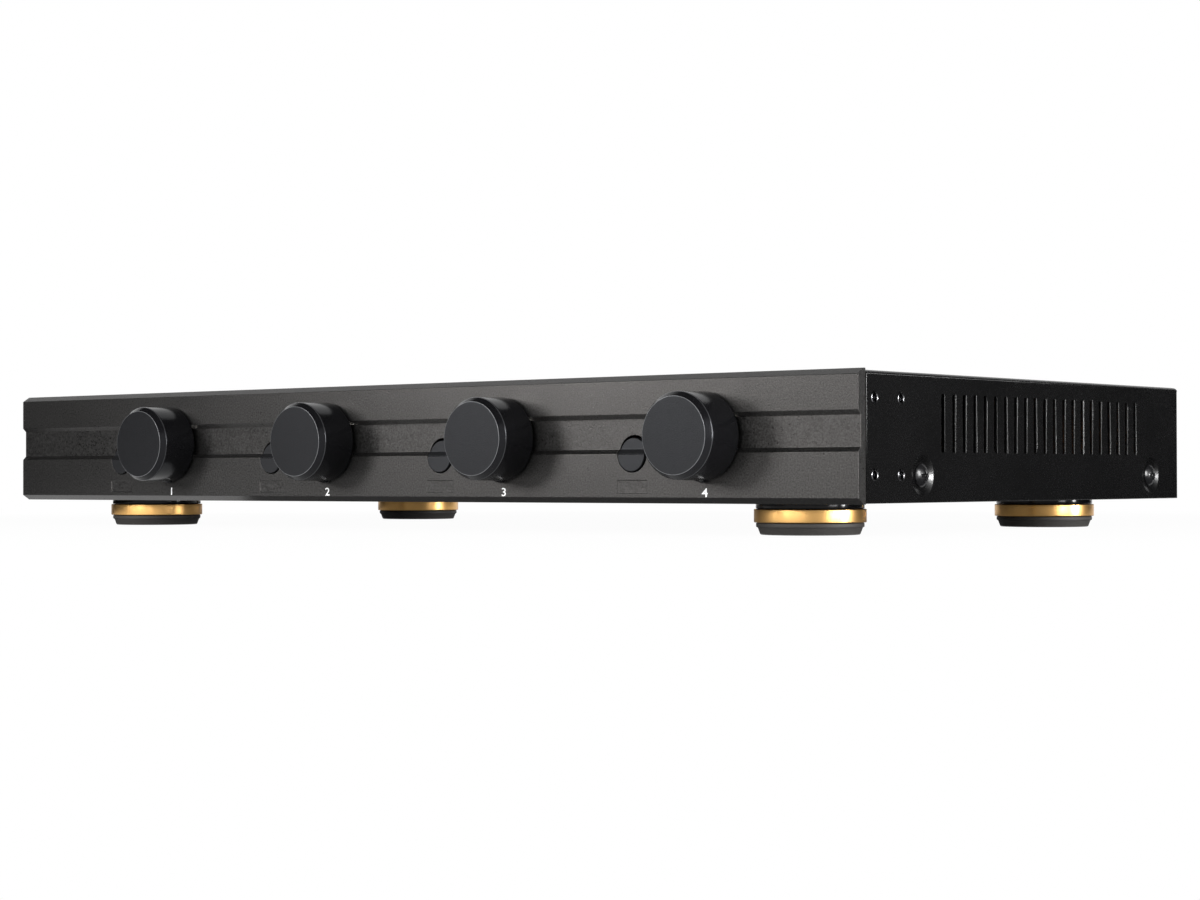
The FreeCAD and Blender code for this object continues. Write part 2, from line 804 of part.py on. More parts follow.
save("transformer_cores", [transformer_core(x) for x in transformer_x])
save("transformer_bobbins", [transformer_bobbin(x) for x in transformer_x])
save("transformer_windings", [transformer_winding(x) for x in transformer_x])
save("transformer_straps", [transformer_strap(x) for x in transformer_x])

save("terminal_sockets", [terminal_socket(x) for x in terminal_x])
save("terminal_pins", [terminal_pin(x + pole) for x in terminal_x for pole in pole_x])
for place, x in enumerate(terminal_x):
    name = "output_plug_" + str(place) if place else "input_plug"
    save(name, terminal_plug(x))
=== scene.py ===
import json
import math
import bmesh
import bpy
import numpy as np
from mathutils import Matrix, Vector


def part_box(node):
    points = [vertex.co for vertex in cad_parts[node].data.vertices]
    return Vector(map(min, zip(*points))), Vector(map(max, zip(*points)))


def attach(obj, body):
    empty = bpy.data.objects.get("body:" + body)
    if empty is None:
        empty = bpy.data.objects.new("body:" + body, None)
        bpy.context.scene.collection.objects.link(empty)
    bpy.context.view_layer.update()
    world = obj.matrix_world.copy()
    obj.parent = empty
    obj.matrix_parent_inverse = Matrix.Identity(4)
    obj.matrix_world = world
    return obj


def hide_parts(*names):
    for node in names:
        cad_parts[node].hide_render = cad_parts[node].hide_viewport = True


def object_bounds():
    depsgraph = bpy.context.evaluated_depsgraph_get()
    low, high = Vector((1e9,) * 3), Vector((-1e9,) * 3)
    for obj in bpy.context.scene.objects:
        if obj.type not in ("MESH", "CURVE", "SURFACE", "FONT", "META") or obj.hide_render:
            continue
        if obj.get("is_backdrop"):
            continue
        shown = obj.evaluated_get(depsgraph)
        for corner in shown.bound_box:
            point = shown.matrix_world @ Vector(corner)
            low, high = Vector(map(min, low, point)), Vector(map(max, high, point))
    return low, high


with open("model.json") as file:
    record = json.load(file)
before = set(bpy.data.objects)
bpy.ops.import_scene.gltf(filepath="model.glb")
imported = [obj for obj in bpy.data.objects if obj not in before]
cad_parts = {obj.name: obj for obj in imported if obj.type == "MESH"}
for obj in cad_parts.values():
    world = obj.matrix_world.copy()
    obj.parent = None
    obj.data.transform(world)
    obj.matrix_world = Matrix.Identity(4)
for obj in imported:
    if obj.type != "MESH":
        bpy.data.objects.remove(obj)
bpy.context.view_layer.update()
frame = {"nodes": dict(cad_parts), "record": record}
nodes = frame["nodes"]
mm = 0.001
fullTurn = 2 * math.pi
rooms = (1, 2, 3, 4)
print("frame:", len(nodes), "nodes")


def newObject(name, data):
    thing = bpy.data.objects.new(name, data)
    bpy.context.collection.objects.link(thing)
    return thing


# Camera: a 73 mm lens two centimetres above the floor, in front of the box and to its right.
camera = {
    "place": (0.6468, -0.7692, 0.02002),
    "lens": 72.82,
    "sensor": 36,
    "nearest": 0.01,
    "azimuth": 39.285,
    "tilt": 90.64,
    "roll": -0.14,
}
lens = bpy.data.cameras.new("camera")
lens.lens = camera["lens"]
lens.sensor_width = camera["sensor"]
lens.clip_start = camera["nearest"]
cameraObject = newObject("camera", lens)
cameraObject.matrix_world = (
    Matrix.Translation(camera["place"])
    @ Matrix.Rotation(math.radians(camera["azimuth"]), 4, "Z")
    @ Matrix.Rotation(math.radians(camera["tilt"]), 4, "X")
    @ Matrix.Rotation(math.radians(camera["roll"]), 4, "Z")
)
bpy.context.scene.camera = cameraObject
bpy.context.scene.view_settings.view_transform = "Standard"


# Nodes that the studio and the finishes share.
def feed(tree, value, socket):
    # a number or colour is set on the socket, another node's output is linked to it
    if isinstance(value, bpy.types.NodeSocket):
        tree.links.new(value, socket)
    else:
        socket.default_value = value


def mathNode(tree, operation, *values):
    node = tree.nodes.new("ShaderNodeMath")
    node.operation = operation
    for place, value in enumerate(values):
        feed(tree, value, node.inputs[place])
    return node.outputs[0]


def rangeNode(tree, value, interpolation="LINEAR", **limits):
    # carries a value from one range to another, 0 to 1 where a limit isn't given
    node = tree.nodes.new("ShaderNodeMapRange")
    node.interpolation_type = interpolation
    labels = {"fromMin": "From Min", "fromMax": "From Max", "toMin": "To Min", "toMax": "To Max"}
    for key, limit in limits.items():
        feed(tree, limit, node.inputs[labels[key]])
    feed(tree, value, node.inputs["Value"])
    return node.outputs[0]


def whiteForView(tree, plainShader):
    # mixes a shader with white of strength 1 for the rays that look at the background
    path = tree.nodes.new("ShaderNodeLightPath")
    white = tree.nodes.new("ShaderNodeEmission")
    white.inputs["Strength"].default_value = 1.0
    mirrored = mathNode(tree, "MAXIMUM", path.outputs["Is Glossy Ray"],
                        path.outputs["Is Transmission Ray"])
    mix = tree.nodes.new("ShaderNodeMixShader")
    tree.links.new(plainShader, mix.inputs[1])
    tree.links.new(white.outputs[0], mix.inputs[2])
    return path.outputs["Is Camera Ray"], mirrored, mix


# Studio: soft boxes, a white room and black flags that only reflections see.
# Azimuth 0 is straight in front of the panel and 90 is to the right.
studio = {
    "boxes": {
        "keyBox": dict(place=(-0.33, -0.64, 0.21), aim=(0.05, -0.111, 0.03),
                       width=0.2, tall=0.24, watts=2.8),
        "frontBox": dict(place=(-0.05, -0.95, 0.2), aim=(0.05, -0.1, 0.03),
                         width=0.3, tall=0.25, watts=2.2),
        "fillBox": dict(place=(0.3, -0.8, 0.25), aim=(0.05, -0.1, 0.03),
                        width=0.3, tall=0.3, watts=3),
        "rightBox": dict(place=(0.92, -0.15, 0.2), aim=(0.2, -0.05, 0.03),
                         width=0.24, tall=0.4, watts=9),
        "sideBox": dict(place=(2.6, 0.76, 0.15), aim=(0.216, 0.0, 0.03),
                        width=0.3, tall=0.3, watts=52),
    },
    "flags": {"leftFlag": (-100, -18), "backFlag": (118, 168)},     # from azimuth to azimuth
    # dark patches on the floor that only reflections see: painted shade where the floor is less
    # lit, at the left and behind on the right, and a painted shadow under the box
    "floorFlags": {
        "leftFloorFlag": [(-0.25, 0.5), (-0.25, -0.13), (-0.28, -0.3), (-0.7, -3), (-3, -3),
                          (-3, 0.5)],
        "underFlag": [(-0.09, -0.117), (0.216, -0.117), (0.216, 0.118), (-0.216, 0.118),
                      (-0.216, -0.095), (-0.09, -0.095)],
        "rightFloorFlag": [(0.222, -0.11), (1.6, 0.62), (3.0, 1.4), (3.0, 3.0), (-0.1, 3.0),
                           (0.222, 0.2)],
    },
    "flagColor": 0.01,
    "flagLevels": {"underFlag": 0.16},      # the patch under the box glows a little grey, a painted shadow; the others are black
    "flagDistance": 3.0,
    "flagSteps": 13,
    "flagFoot": 0.002,
    "flagTall": 2.2,
    "flagLift": 0.0004,         # floor flags above the floor
    "roofBack": 0.6,            # the roof is open behind this, to the left of roofRight
    "roofRight": 0.1,
    "roomLevel": 0.06,
    "floorSize": 6.0,
    "floorColor": 0.88,
    "floorNear": 0.28,          # from here the floor fades into the white background
    "floorFar": 0.55,
    "floorGlow": 0.97,
    "floorMirror": 1.0,
}

for name, box in studio["boxes"].items():
    light = bpy.data.lights.new(name, "AREA")
    light.shape = "RECTANGLE"
    light.size = box["width"]
    light.size_y = box["tall"]
    light.energy = box["watts"]
    lamp = newObject(name, light)
    lamp.location = box["place"]
    towards = Vector(box["aim"]) - lamp.location
    lamp.rotation_euler = towards.to_track_quat("-Z", "Y").to_euler()
    lamp.visible_camera = False

world = bpy.data.worlds.new("room")
bpy.context.scene.world = world
world.use_nodes = True
tree = world.node_tree
background = tree.nodes["Background"]
background.inputs["Color"].default_value = (1, 1, 1, 1)
background.inputs["Strength"].default_value = studio["roomLevel"]
looking, mirrored, mix = whiteForView(tree, background.outputs[0])
tree.links.new(mathNode(tree, "MAXIMUM", looking, mirrored), mix.inputs[0])
tree.links.new(mix.outputs[0], tree.nodes["World Output"].inputs["Surface"])


def stageMesh(name, points, faces, material):
    mesh = bpy.data.meshes.new(name)
    mesh.from_pydata(points, [], faces)
    mesh.materials.append(material)
    thing = newObject(name, mesh)
    thing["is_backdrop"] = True
    return thing


floorMaterial = bpy.data.materials.new("floor")
floorMaterial.use_nodes = True
tree = floorMaterial.node_tree
tree.nodes.clear()
diffuse = tree.nodes.new("ShaderNodeBsdfDiffuse")
diffuse.inputs["Color"].default_value = (studio["floorColor"],) * 3 + (1,)
looking, mirrored, mix = whiteForView(tree, diffuse.outputs[0])
distance = tree.nodes.new("ShaderNodeVectorMath")
distance.operation = "LENGTH"
tree.links.new(tree.nodes.new("ShaderNodeTexCoord").outputs["Object"], distance.inputs[0])
farOff = rangeNode(tree, distance.outputs["Value"], "SMOOTHSTEP",
                   fromMin=studio["floorNear"], fromMax=studio["floorFar"])
viewShare = rangeNode(tree, farOff, toMin=studio["floorGlow"])
viewPart = mathNode(tree, "MULTIPLY", viewShare, looking)
whiteShare = mathNode(tree, "MULTIPLY_ADD", studio["floorMirror"], mirrored, viewPart)
tree.links.new(whiteShare, mix.inputs[0])
output = tree.nodes.new("ShaderNodeOutputMaterial")
tree.links.new(mix.outputs[0], output.inputs["Surface"])
half = studio["floorSize"] / 2
stageMesh("floor", [(-half, -half, 0), (half, -half, 0), (half, half, 0), (-half, half, 0)],
          [(0, 1, 2, 3)], floorMaterial)


def studioFlag(name, points, faces):
    material = bpy.data.materials.new(name)
    material.use_nodes = True
    shader = material.node_tree.nodes["Principled BSDF"].inputs
    shader["Base Color"].default_value = (studio["flagColor"],) * 3 + (1,)
    shader["Roughness"].default_value = 1.0
    shader["Specular IOR Level"].default_value = 0.0
    shader["Emission Color"].default_value = (1, 1, 1, 1)
    shader["Emission Strength"].default_value = studio["flagLevels"].get(name, 0.0)
    flag = stageMesh(name, points, faces, material)
    flag.visible_camera = False
    flag.visible_diffuse = False
    flag.visible_transmission = False
    flag.visible_shadow = False


reach, roof, steps = studio["flagDistance"], studio["flagTall"], studio["flagSteps"]
for name, (start, end) in studio["flags"].items():
    turns = np.radians(np.linspace(start, end, steps))
    points = [(reach * math.sin(turn), -reach * math.cos(turn), height)
              for height in (studio["flagFoot"], roof) for turn in turns]
    studioFlag(name, points, [(i, i + 1, steps + i + 1, steps + i) for i in range(steps - 1)])
for name, corners in studio["floorFlags"].items():
    points = [(x, y, studio["flagLift"]) for x, y in corners]
    studioFlag(name, points, [tuple(range(len(points)))])
back, right = studio["roofBack"], studio["roofRight"]
points = [(-reach, -reach, roof), (reach, -reach, roof), (reach, reach, roof),
          (right, reach, roof), (right, back, roof), (-reach, back, roof)]
studioFlag("roofFlag", points, [tuple(range(len(points)))])
print("studio: camera, floor,", len(studio["boxes"]), "soft boxes,", len(studio["flags"]), "flags")


# Finishes. Two groups carry what they share: a fine grain and fine parallel lines.
grainTexture = {
    "detail": 2.0,
    "roughness": 0.6,
    "cloudSize": 0.03,          # metres, slow change over the surface
    "cloudDetail": 3.0,
    "cloudShare": 0.4,          # beside a grain of 1
}
lineTexture = {"detail": 2.0}


def newGroup(name, *ownInputs):
    group = bpy.data.node_groups.new(name, "ShaderNodeTree")
    inputs = [("Color", "NodeSocketColor", (0.5, 0.5, 0.5, 1)),
              ("Color Spread", "NodeSocketFloat", 0.2), ("Roughness", "NodeSocketFloat", 0.4),
              ("Roughness Spread", "NodeSocketFloat", 0.1)]
    for label, kind, value in inputs + list(ownInputs):
        socket = group.interface.new_socket(label, in_out="INPUT", socket_type=kind)
        socket.default_value = value
    for label, kind in (("Color", "NodeSocketColor"), ("Roughness", "NodeSocketFloat"),
                        ("Height", "NodeSocketFloat")):
        group.interface.new_socket(label, in_out="OUTPUT", socket_type=kind)
    given = group.nodes.new("NodeGroupInput").outputs
    return group, given, group.nodes.new("NodeGroupOutput").inputs


def giveBack(tree, given, result, tone, height):
    # colour times (1 + tone * its spread) and roughness + tone * its spread, with a tone round 0
    shade = tree.nodes.new("ShaderNodeMix")
    shade.data_type = "RGBA"
    shade.blend_type = "MULTIPLY"
    shade.inputs["Factor"].default_value = 1.0
    tree.links.new(given["Color"], shade.inputs["A"])
    tree.links.new(mathNode(tree, "MULTIPLY_ADD", tone, given["Color Spread"], 1.0),
                   shade.inputs["B"])
    tree.links.new(shade.outputs["Result"], result["Color"])
    tree.links.new(mathNode(tree, "MULTIPLY_ADD", tone, given["Roughness Spread"],
                            given["Roughness"]), result["Roughness"])
    tree.links.new(height, result["Height"])


def noiseNode(tree, size, detail, roughness=0.5):
    noise = tree.nodes.new("ShaderNodeTexNoise")
    noise.inputs["Detail"].default_value = detail
    noise.inputs["Roughness"].default_value = roughness
    tree.links.new(tree.nodes.new("ShaderNodeTexCoord").outputs["Object"], noise.inputs["Vector"])
    tree.links.new(mathNode(tree, "DIVIDE", 1.0, size), noise.inputs["Scale"])
    return noise.outputs["Fac"]


grainGroup, given, result = newGroup("fineGrain", ("Grain Size", "NodeSocketFloat", 0.0004),
                                     ("Cloud Size", "NodeSocketFloat", grainTexture["cloudSize"]))
grain = noiseNode(grainGroup, given["Grain Size"], grainTexture["detail"],
                  grainTexture["roughness"])
cloud = noiseNode(grainGroup, given["Cloud Size"], grainTexture["cloudDetail"])
grainTone = mathNode(grainGroup, "SUBTRACT", grain, 0.5)
cloudTone = mathNode(grainGroup, "SUBTRACT", cloud, 0.5)
tone = mathNode(grainGroup, "MULTIPLY_ADD", cloudTone, grainTexture["cloudShare"], grainTone)
giveBack(grainGroup, given, result, tone, grain)

lineGroup, given, result = newGroup("fineLines", ("Across", "NodeSocketVector", (0, 0, 1)),
                                    ("Pitch", "NodeSocketFloat", 0.0002))
place = lineGroup.nodes.new("ShaderNodeTexCoord").outputs["Object"]
along = lineGroup.nodes.new("ShaderNodeVectorMath")
along.operation = "DOT_PRODUCT"
lineGroup.links.new(place, along.inputs[0])
lineGroup.links.new(given["Across"], along.inputs[1])
lines = lineGroup.nodes.new("ShaderNodeTexNoise")
lines.noise_dimensions = "1D"
lines.inputs["Scale"].default_value = 1.0
lines.inputs["Detail"].default_value = lineTexture["detail"]
lineGroup.links.new(mathNode(lineGroup, "DIVIDE", along.outputs["Value"], given["Pitch"]),
                    lines.inputs["W"])
tone = mathNode(lineGroup, "SUBTRACT", lines.outputs["Fac"], 0.5)
giveBack(lineGroup, given, result, tone, lines.outputs["Fac"])

# What each finish looks like. Grain, pitch and bump depth are in metres; the spreads are how far
# colour and roughness vary.
finishes = {
    "black_anodised": dict(color=(0.003, 0.0029, 0.0028), spread=0.9, roughness=0.34,
                           roughnessSpread=0.3, grain=0.0006, depth=0.00006, specular=0.31,
                           tint=(1.0, 0.94, 0.9), coat=0.36, coatSpread=1.6, coatRoughness=0.6),
    "black_paint": dict(color=(0.002, 0.002, 0.0021), spread=0.8, roughness=0.26,
                        roughnessSpread=0.15, grain=0.0005, depth=0.00002, specular=0.34,
                        upward=0.42, upwardFrom=0.95),
    "black_screw": dict(color=(0.006, 0.006, 0.0065), spread=0.4, roughness=0.25,
                        roughnessSpread=0.1, grain=0.0005, depth=0.000006, specular=0.35),
    "zinc_plated_steel": dict(color=(0.6, 0.61, 0.62), spread=0.25, metallic=1.0, roughness=0.32,
                              roughnessSpread=0.2, pitch=0.0004, across=(1, 0, 0),
                              depth=0.000004),
    "foot_plastic": dict(color=(0.006, 0.006, 0.0065), spread=0.5, roughness=0.14,
                         roughnessSpread=0.06, grain=0.0008, depth=0.000004, specular=0.15),
    "gold": dict(color=(0.72, 0.42, 0.145), spread=0.12, metallic=1.0, roughness=0.32,
                 roughnessSpread=0.1, pitch=0.00012, across=(0, 0, 1), depth=0.000004),
    "rubber": dict(color=(0.03, 0.028, 0.026), spread=0.8, roughness=0.62,
                   roughnessSpread=0.2, grain=0.0005, depth=0.00003, specular=0.4),
    # the knob's light metal colour is painted on its rim and shoulder as highlight lines
    "knob_black": dict(color=(0.005, 0.005, 0.0056), spread=0.9, roughness=0.42,
                       roughnessSpread=0.3, grain=0.0004, depth=0.00005, specular=0.165,
                       tint=(0.9, 0.93, 1.0), polish=0.19, calm=0.6, paintedGlintColor=(0.8, 0.82, 0.85)),
    "button_grey": dict(color=(0.009, 0.0092, 0.01), spread=0.8, roughness=0.42,
                        roughnessSpread=0.1, grain=0.0004, depth=0.00003, specular=0.2,
                        tint=(0.92, 0.94, 1.0)),
    "die_cast": dict(color=(0.5, 0.5, 0.51), spread=0.3, metallic=1.0, roughness=0.5,
                     roughnessSpread=0.15, grain=0.0007, depth=0.00002),
    "switch_plastic": dict(color=(0.03, 0.03, 0.03), spread=0.4, roughness=0.5,
                           roughnessSpread=0.1, grain=0.0004, depth=0.00001),
    "nickel": dict(color=(0.66, 0.64, 0.6), spread=0.15, metallic=1.0, roughness=0.2,
                   roughnessSpread=0.12, grain=0.0005, depth=0.000003),
    "dark_steel": dict(color=(0.22, 0.22, 0.23), spread=0.2, metallic=1.0, roughness=0.14,
                       roughnessSpread=0.1, grain=0.0005, depth=0.000003),
    "circuit_board": dict(color=(0.02, 0.13, 0.045), spread=0.6, roughness=0.32,
                          roughnessSpread=0.1, grain=0.0011, depth=0.00001),
    "nylon": dict(color=(0.7, 0.69, 0.64), spread=0.15, roughness=0.5,
                  roughnessSpread=0.1, grain=0.0006, depth=0.00001),
    "lamination_steel": dict(color=(0.16, 0.16, 0.175), spread=1.2, metallic=1.0,
                             roughness=0.42, roughnessSpread=0.2, pitch=0.0005,
                             across=(0, 1, 0), depth=0.00006),
    "copper_wire": dict(color=(0.5, 0.2, 0.08), spread=1.0, metallic=1.0, roughness=0.28,
                        roughnessSpread=0.1, pitch=0.0007, across=(0, 0, 1), depth=0.00012),
    "terminal_plastic": dict(color=(0.025, 0.13, 0.055), spread=0.3, roughness=0.4,
                             roughnessSpread=0.1, grain=0.0005, depth=0.000012),
    "white_ink": dict(color=(0.9, 0.9, 0.9), spread=0.1, roughness=0.45,
                      roughnessSpread=0.1, grain=0.0003, depth=0.000004),
}
groupInputs = {"spread": "Color Spread", "roughness": "Roughness",
               "roughnessSpread": "Roughness Spread", "grain": "Grain Size", "pitch": "Pitch",
               "across": "Across"}


def markNode(tree, label):
    # a value that the mesh gives at each of its points
    mark = tree.nodes.new("ShaderNodeAttribute")
    mark.attribute_name = label
    return mark.outputs["Fac"]


def makeFinish(name, look):
    material = bpy.data.materials.new(name)
    material.use_nodes = True
    tree = material.node_tree
    shader = tree.nodes["Principled BSDF"].inputs
    shader["Metallic"].default_value = look.get("metallic", 0.0)
    shader["Specular IOR Level"].default_value = look.get("specular", 0.5)
    shader["Specular Tint"].default_value = look.get("tint", (1, 1, 1)) + (1,)
    shader["Coat Roughness"].default_value = look.get("coatRoughness", 0.1)
    effect = tree.nodes.new("ShaderNodeGroup")
    effect.node_tree = lineGroup if "pitch" in look else grainGroup
    effect.inputs["Color"].default_value = look["color"] + (1,)
    for key, label in groupInputs.items():
        if key in look:
            effect.inputs[label].default_value = look[key]
    color, roughness, height = (effect.outputs[label]
                                for label in ("Color", "Roughness", "Height"))
    if "coat" in look:
        # a satin coat that the grain breaks up
        grainy = mathNode(tree, "SUBTRACT", height, 0.5)
        tree.links.new(mathNode(tree, "MULTIPLY_ADD", grainy, look["coatSpread"], look["coat"]),
                       shader["Coat Weight"])
    if "upward" in look:
        # faces that look up are rougher, so that they do not mirror at a low angle
        facing = tree.nodes.new("ShaderNodeSeparateXYZ")
        tree.links.new(tree.nodes.new("ShaderNodeNewGeometry").outputs["Normal"],
                       facing.inputs[0])
        coarser = rangeNode(tree, facing.outputs["Z"], fromMin=look["upwardFrom"],
                            toMax=look["upward"])
        roughness = mathNode(tree, "ADD", roughness, coarser)
    if "polish" in look:
        # where the mesh is marked polished it is smoother and its grain lower, and where it is
        # marked with the painted glint its colour is mixed towards a light metal colour and made
        # partly
        # metallic: a painted highlight line along the edge
        polished, paintedGlint = markNode(tree, "polished"), markNode(tree, "paintedGlint")
        roughness = rangeNode(tree, polished, toMin=roughness, toMax=look["polish"])
        calmer = mathNode(tree, "MULTIPLY_ADD", polished, -look["calm"], 1.0)
        height = mathNode(tree, "MULTIPLY", mathNode(tree, "SUBTRACT", height, 0.5), calmer)
        cut = tree.nodes.new("ShaderNodeMix")
        cut.data_type = "RGBA"
        cut.inputs["B"].default_value = look["paintedGlintColor"] + (1,)
        tree.links.new(paintedGlint, cut.inputs["Factor"])
        tree.links.new(color, cut.inputs["A"])
        color = cut.outputs["Result"]
        tree.links.new(paintedGlint, shader["Metallic"])
    bump = tree.nodes.new("ShaderNodeBump")
    bump.inputs["Distance"].default_value = look["depth"]
    tree.links.new(height, bump.inputs["Height"])
    tree.links.new(color, shader["Base Color"])
    tree.links.new(roughness, shader["Roughness"])
    tree.links.new(bump.outputs["Normal"], shader["Normal"])
    return material


materials = {name: makeFinish(name, look) for name, look in finishes.items()}
slotOf = {part["node"]: part["material_slot"] for part in frame["record"]["subparts"]}
for name, node in nodes.items():
    node.data.materials.clear()
    node.data.materials.append(materials[slotOf[name]])
print("finishes:", len(materials))


# Ways to make a piece. Shapes are worked out in millimetres and put into the mesh in metres.
making = {
    "hair": 0.02,               # places closer than this are one
    "merge": 0.0001,            # points of a new surface that are one
    "copyMerge": 0.002,         # points of a node's solid that are one
    "flatAngle": 0.6,           # degrees, faces that are joined to one
    "bevelAngle": 28,           # degrees, edges that are rounded
    "crease": 35,               # degrees, edges of a new surface that stay sharp
    "copyCrease": 30,           # and of a node's solid
    "copySegments": 2,
}


def boxOf(node):
    low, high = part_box(node)
    return np.array(low) / mm, np.array(high) / mm


def pointsOf(mesh):
    points = np.zeros(len(mesh.vertices) * 3)
    mesh.vertices.foreach_get("co", points)
    return points.reshape(-1, 3) / mm


def addPiece(name, mesh, body, finish, replaced=(), sharp=making["crease"]):
    mesh.materials.clear()
    mesh.materials.append(materials[finish])
    mesh.shade_smooth()
    mesh.set_sharp_from_angle(angle=math.radians(sharp))
    piece = newObject(name, mesh)
    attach(piece, body)
    if replaced:
        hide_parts(*replaced)
    return piece


def joinGrids(name, grids):
    # quads between neighbouring points of each (rows, columns, 3) grid; columns go round, and
    # rows too where the grid is marked as a ring
    points, quads, first = [], [], 0
    for grid, ring in grids:
        rows, columns = grid.shape[:2]
        index = first + np.arange(rows * columns).reshape(rows, columns)
        low = index if ring else index[:-1]
        high = np.roll(index, -1, axis=0)[:len(low)]
        quad = [low, np.roll(low, -1, axis=1), np.roll(high, -1, axis=1), high]
        quads.append(np.stack(quad, -1).reshape(-1, 4))
        points.append(grid.reshape(-1, 3))
        first += rows * columns
    mesh = bpy.data.meshes.new(name)
    mesh.from_pydata(np.concatenate(points).tolist(), [], np.concatenate(quads).tolist())
    work = bmesh.new()
    work.from_mesh(mesh)
    bmesh.ops.remove_doubles(work, verts=work.verts, dist=making["merge"] * mm)
    bmesh.ops.dissolve_degenerate(work, dist=making["merge"] * mm, edges=work.edges)
    bmesh.ops.recalc_face_normals(work, faces=work.faces)
    work.to_mesh(mesh)
    work.free()
    return mesh


def roundedProfile(corners, radii, steps):
    # each corner gives way to an arc that leaves its sides at radius / tan(half the corner's
    # angle): point = centre + (start * sin((1 - t) sweep) + end * sin(t sweep)) / sin(sweep)
    corners = np.array(corners, float)
    rows = []
    for place, radius in enumerate(radii):
        corner = corners[place]
        if radius == 0:
            rows.append(corner[None])
            continue
        before = corners[place - 1] - corner
        after = corners[(place + 1) % len(corners)] - corner
        before = before / np.linalg.norm(before)
        after = after / np.linalg.norm(after)
        halfAngle = math.acos(float(before @ after)) / 2
        middle = (before + after) / np.linalg.norm(before + after)
        centre = corner + middle * radius / math.sin(halfAngle)
        start = corner + before * radius / math.tan(halfAngle) - centre
        end = corner + after * radius / math.tan(halfAngle) - centre
        turn = np.linspace(0, 1, steps + 1)[:, None]
        sweep = math.pi - 2 * halfAngle
        arc = start * np.sin((1 - turn) * sweep) + end * np.sin(turn * sweep)
        rows.append(centre + arc / math.sin(sweep))
    return np.concatenate(rows)


def roundAngles(columns):
    return np.linspace(0, fullTurn, columns + 1)[:-1]


def turnedGrid(radius, level, angles, axis, centre):
    # point = centre + radius * (cos angle, sin angle) across the axis + level along it;
    # radius and level are (rows, columns) arrays or columns of one value per row
    around = np.broadcast_to(radius * np.cos(angles), (len(radius), len(angles)))
    up = np.broadcast_to(radius * np.sin(angles), (len(radius), len(angles)))
    along = np.broadcast_to(level, around.shape)
    order = {"x": (along, centre[0] + around, centre[1] + up),
             "y": (centre[0] + around, along, centre[1] + up),
             "z": (centre[0] + around, centre[1] + up, along)}
    return np.stack(order[axis], -1) * mm


def softenedCopy(node, name, body, finish, width, weigh=None,
                 segments=making["copySegments"], sharp=making["copyCrease"]):
    # the node's own solid with its flat faces joined and its edges rounded; weigh gives each
    # edge a share of the width from its middle point and its run from end to end; edges that
    # are left as they are stay creased above the sharp angle
    mesh = nodes[node].data.copy()
    mesh.name = name
    work = bmesh.new()
    work.from_mesh(mesh)
    bmesh.ops.remove_doubles(work, verts=work.verts, dist=making["copyMerge"] * mm)
    bmesh.ops.dissolve_limit(work, angle_limit=math.radians(making["flatAngle"]),
                             verts=work.verts, edges=work.edges)
    bends = np.array([edge.calc_face_angle(0.0) for edge in work.edges])
    work.to_mesh(mesh)
    work.free()
    piece = addPiece(name, mesh, body, finish, (node,), sharp=sharp)
    bevel = piece.modifiers.new("edges", "BEVEL")
    bevel.width = width * mm
    bevel.segments = segments
    bevel.use_clamp_overlap = False
    bevel.limit_method = "WEIGHT"
    ends = np.zeros(len(mesh.edges) * 2, np.int32)
    mesh.edges.foreach_get("vertices", ends)
    pairs = pointsOf(mesh)[ends.reshape(-1, 2)]
    share = np.ones(len(bends))
    if weigh:
        share = weigh(pairs.mean(1), pairs[:, 1] - pairs[:, 0])
    share = np.where(bends > math.radians(min(making["bevelAngle"], sharp)), share, 0.0)
    mesh.edges.foreach_set("use_edge_sharp", (bends > math.radians(sharp)) & (share == 0))
    weights = mesh.attributes.new("bevel_weight_edge", "FLOAT", "EDGE")
    weights.data.foreach_set("value", share.astype(np.float32))
    flatten = piece.modifiers.new("flat faces", "WEIGHTED_NORMAL")
    flatten.keep_sharp = True
    flatten.weight = 100        # the largest face sets the normal
    return piece


# Front panel: the extrusion with its edges broken, and a printed number under each knob.
panel = {
    "edge": 0.16,               # long edges, ends, and round the buttons and labels
    "longRun": 30,              # an edge longer than this is one of the long ones
    "capReach": 8,              # round a button or label: this far from its middle
    "frontDepth": 2,            # and this close to the front
    "numberHeight": 3.0,
    "numberWide": 1.25,         # times the width of the plain typeface
    "numberUp": 3.8,            # middle of the number above the lower edge
    "numberBold": 0.008,
    "numberCrease": 30,         # degrees
    "inkThickness": 0.02,
}
panelLow, panelHigh = boxOf("front_panel")
knobBoxes = {room: boxOf("knob_%d" % room) for room in rooms}
capBoxes = [boxOf("button_cap_%d" % room) for room in rooms]
knobX = {room: (low[0] + high[0]) / 2 for room, (low, high) in knobBoxes.items()}
capX = np.array([(low[0] + high[0]) / 2 for low, high in capBoxes])


def panelEdges(middles, runs):
    long = np.abs(runs[:, 0]) > panel["longRun"]
    ends = np.abs(np.abs(middles[:, 0]) - panelHigh[0]) < making["hair"]
    nearCap = np.min(np.abs(middles[:, 0:1] - capX), axis=1) < panel["capReach"]
    front = middles[:, 1] < panelLow[1] + panel["frontDepth"]
    return np.where(long | ends | (nearCap & front), 1.0, 0.0)


softenedCopy("front_panel", "panel", "case", "black_anodised", panel["edge"], panelEdges)


